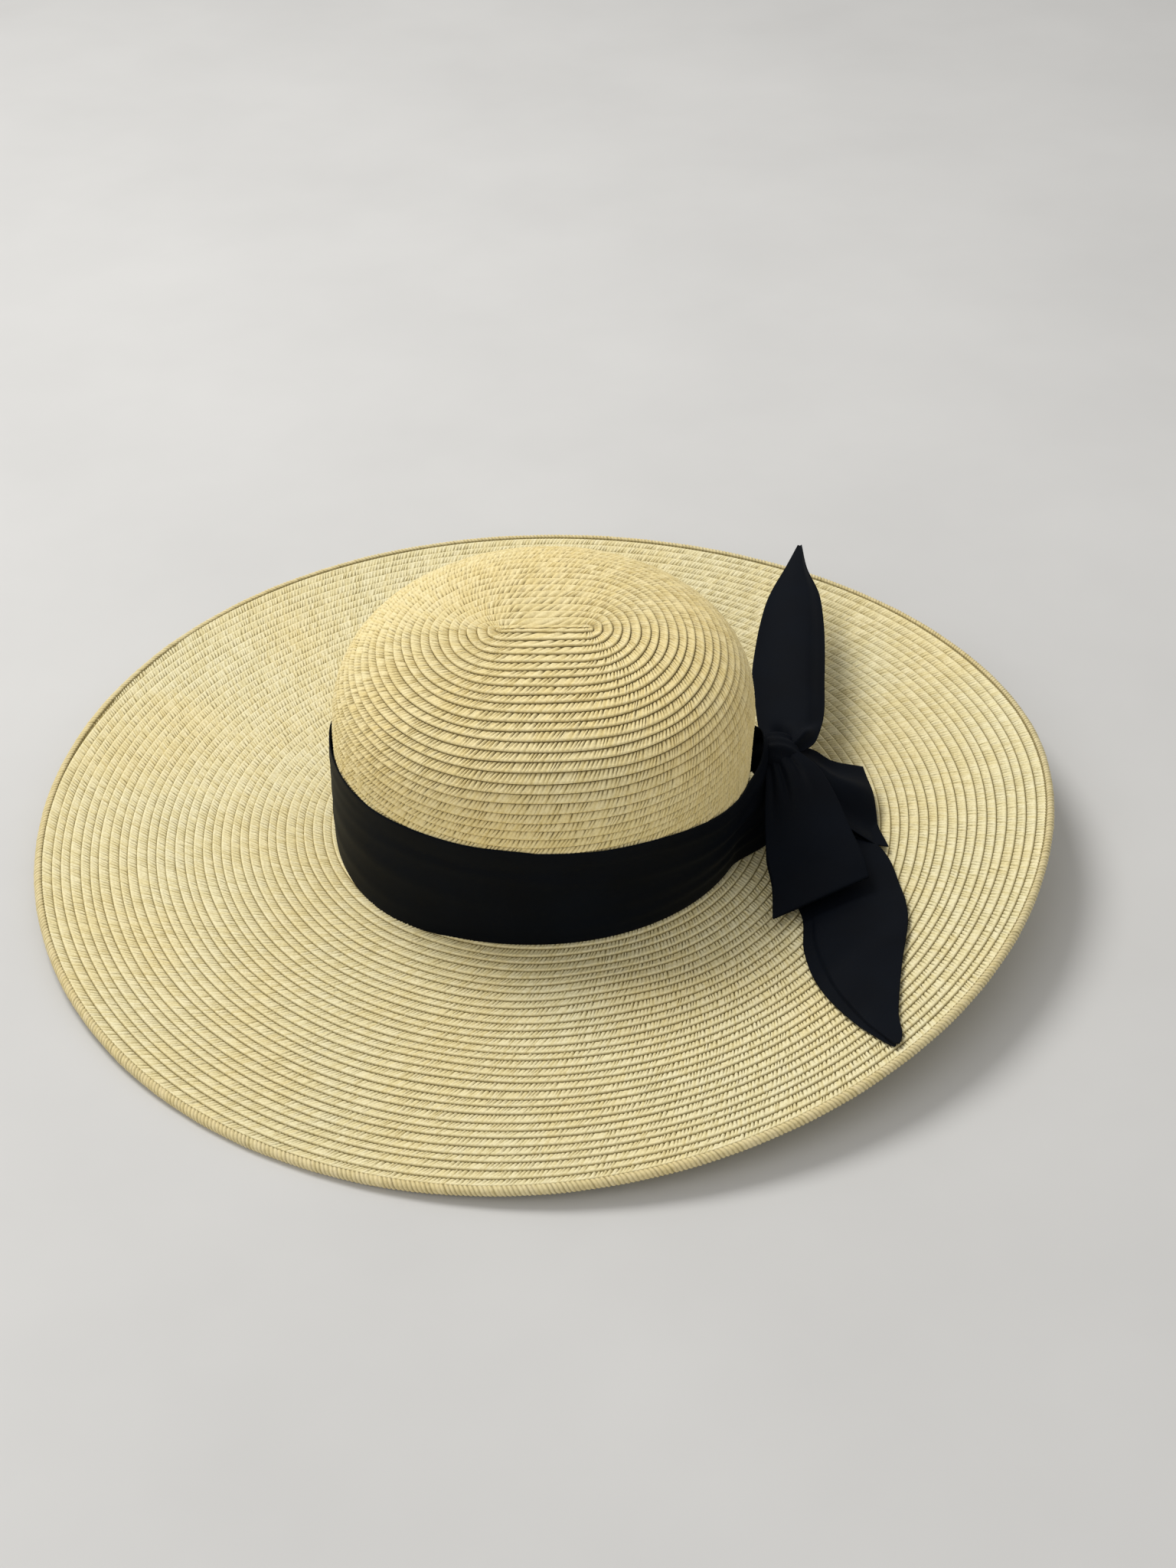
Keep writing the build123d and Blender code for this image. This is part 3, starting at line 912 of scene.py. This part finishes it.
def add_tacks():
    """Bar tacks: three turns of thread laid side by side, at the CAD's three places."""
    sides, steps = 8, 24
    points, quads, start = [], [], 0
    for degrees, height in ((11.5, band_high - 15), (75, band_high - 4), (135, band_high - 4)):
        middle = math.radians(degrees)
        loose = 1.6 if degrees < 30 else 0.0     # the ribbon stands off the straw beside the knot
        for turn in (-1, 0, 1):
            s = np.linspace(-1, 1, steps)[:, None]
            a = np.linspace(0, 2 * np.pi, sides, endpoint=False)[None, :]
            reach = wall_radius(np.full(1, middle), np.full(1, height))[0]
            angle = middle + s * 1.7 / reach
            thick = 0.33 * (1 + 0.12 * np.cos(s * 22 + a * 2))
            sink = 0.5 * s**6
            z = height + turn * 0.55 + thick * np.sin(a) + 0 * s
            out = wall_radius(angle + 0 * z, z) + 1.75 + loose - sink + thick * np.cos(a)
            points.append(np.stack([out * np.cos(angle), out * np.sin(angle), z], -1).reshape(-1, 3))
            quads.append(grid_quads(steps, sides, wrap=True) + start)
            for row in (0, steps - 1):
                ring = start + row * sides + np.arange(sides)
                cap = np.array([ring[[0, 1, 2, 3]], ring[[0, 3, 4, 7]], ring[[4, 5, 6, 7]]])
                quads.append(cap if row else cap[:, ::-1])
            start += steps * sides
    piece = mesh_object("tack_stitches", np.concatenate(points), np.concatenate(quads), thread)
    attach(piece, "hat")
    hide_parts("band_tacks")


def metal_material(name, light, dark, scale):
    """Drawn metal with a fine lengthwise grain."""
    material, nodes, links, shader = new_material(name)
    place = nodes.new("ShaderNodeTexCoord").outputs["Object"]
    grain = noise(nodes, links, place, scale, 3)
    links.new(ramp(nodes, links, grain, [(0.3, dark), (0.7, light)]), shader.inputs["Base Color"])
    links.new(map_range(nodes, links, grain, 0.28, 0.45), shader.inputs["Roughness"])
    shader.inputs["Metallic"].default_value = 1.0
    add_bump(nodes, links, shader, grain, 0.2, 0.0001)
    return material


def finish_frame():
    """The wire and its sleeve stay as the CAD made them, sealed in the rolled edge, in their own metals."""
    metals = {
        "brim_wire": metal_material("drawn_wire", (0.62, 0.62, 0.63), (0.48, 0.48, 0.50), 1500),
        "wire_joiner": metal_material("crimped_sleeve", (0.78, 0.60, 0.30), (0.62, 0.46, 0.20), 1100),
    }
    for node, metal in metals.items():
        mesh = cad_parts[node].data
        mesh.materials.clear()
        mesh.materials.append(metal)


# ---- stage ---------------------------------------------------------------
def add_floor():
    """A plain pale floor, far larger than the hat."""
    material, nodes, links, shader = new_material("pale_floor")
    place = nodes.new("ShaderNodeTexCoord").outputs["Object"]
    clouds = noise(nodes, links, place, 6, 4)
    tone = ramp(nodes, links, clouds, [(0.3, (0.60, 0.60, 0.60)), (0.7, (0.64, 0.64, 0.64))])
    links.new(tone, shader.inputs["Base Color"])
    shader.inputs["Roughness"].default_value = 0.8
    half = 4000.0
    corners = np.array([(-half, -half, 0), (half, -half, 0), (half, half, 0), (-half, half, 0)])
    floor = mesh_object("floor", corners, np.array([[0, 1, 2, 3]]), material)


def placed(right, up, back, place):
    """Matrix of something at a place, from the directions of its own axes."""
    return Matrix(np.vstack([np.column_stack([right, up, back, place]), (0, 0, 0, 1)]).tolist())


def add_lamp(name, place, target, size, power, colour):
    """A round soft lamp that faces its target."""
    light = bpy.data.lights.new(name, "AREA")
    light.shape = "DISK"
    light.size = size
    light.energy = power
    light.color = colour
    lamp = bpy.data.objects.new(name, light)
    bpy.context.collection.objects.link(lamp)
    forward = unit(np.array(target, float) - np.array(place, float))
    side = unit(np.cross(forward, (0, 0, 1)))
    up = np.cross(side, forward)
    lamp.matrix_world = placed(side, up, -forward, place)


def add_camera():
    """Stands before the hat, with the bow on the right, and looks down at it."""
    down, roll = math.radians(38.0), math.radians(0.85)
    forward = np.array([0, math.cos(down), -math.sin(down)])
    side = np.array([1.0, 0, 0])
    below = np.array([0, -math.sin(down), -math.cos(down)])
    right = math.cos(roll) * side + math.sin(roll) * below
    lower = -math.sin(roll) * side + math.cos(roll) * below
    data = bpy.data.cameras.new("camera")
    data.sensor_fit = "VERTICAL"
    data.sensor_height = 36.0
    data.lens = 51.86
    data.clip_start = 0.05
    camera = bpy.data.objects.new("camera", data)
    bpy.context.collection.objects.link(camera)
    place = np.array([0.0222, -0.8302, 0.6739])
    camera.matrix_world = placed(right, -lower, -forward, place)
    bpy.context.scene.camera = camera


def light_stage():
    """A soft sky, a broad lamp from behind on the left and a weak one in front."""
    world = bpy.data.worlds.new("soft_sky")
    world.use_nodes = True
    background = world.node_tree.nodes["Background"]
    background.inputs["Color"].default_value = (1.0, 0.985, 0.955, 1)
    background.inputs["Strength"].default_value = 0.49
    bpy.context.scene.world = world
    add_lamp("key", (-0.75, 0.7, 1.72), (0, 0, 0.05), 0.95, 24, (1.0, 0.985, 0.95))
    add_lamp("fill", (-0.9, -1.2, 1.2), (0, 0, 0.05), 1.4, 6, (1.0, 0.98, 0.94))
    bpy.context.scene.view_settings.view_transform = "Standard"


add_straw()
add_edge()
add_band()
add_knot()
add_upper_tail()
add_lower_tail()
add_back_loop()
add_front_loop()
add_lining()
add_tacks()
add_floor()
add_camera()
light_stage()
finish_frame()
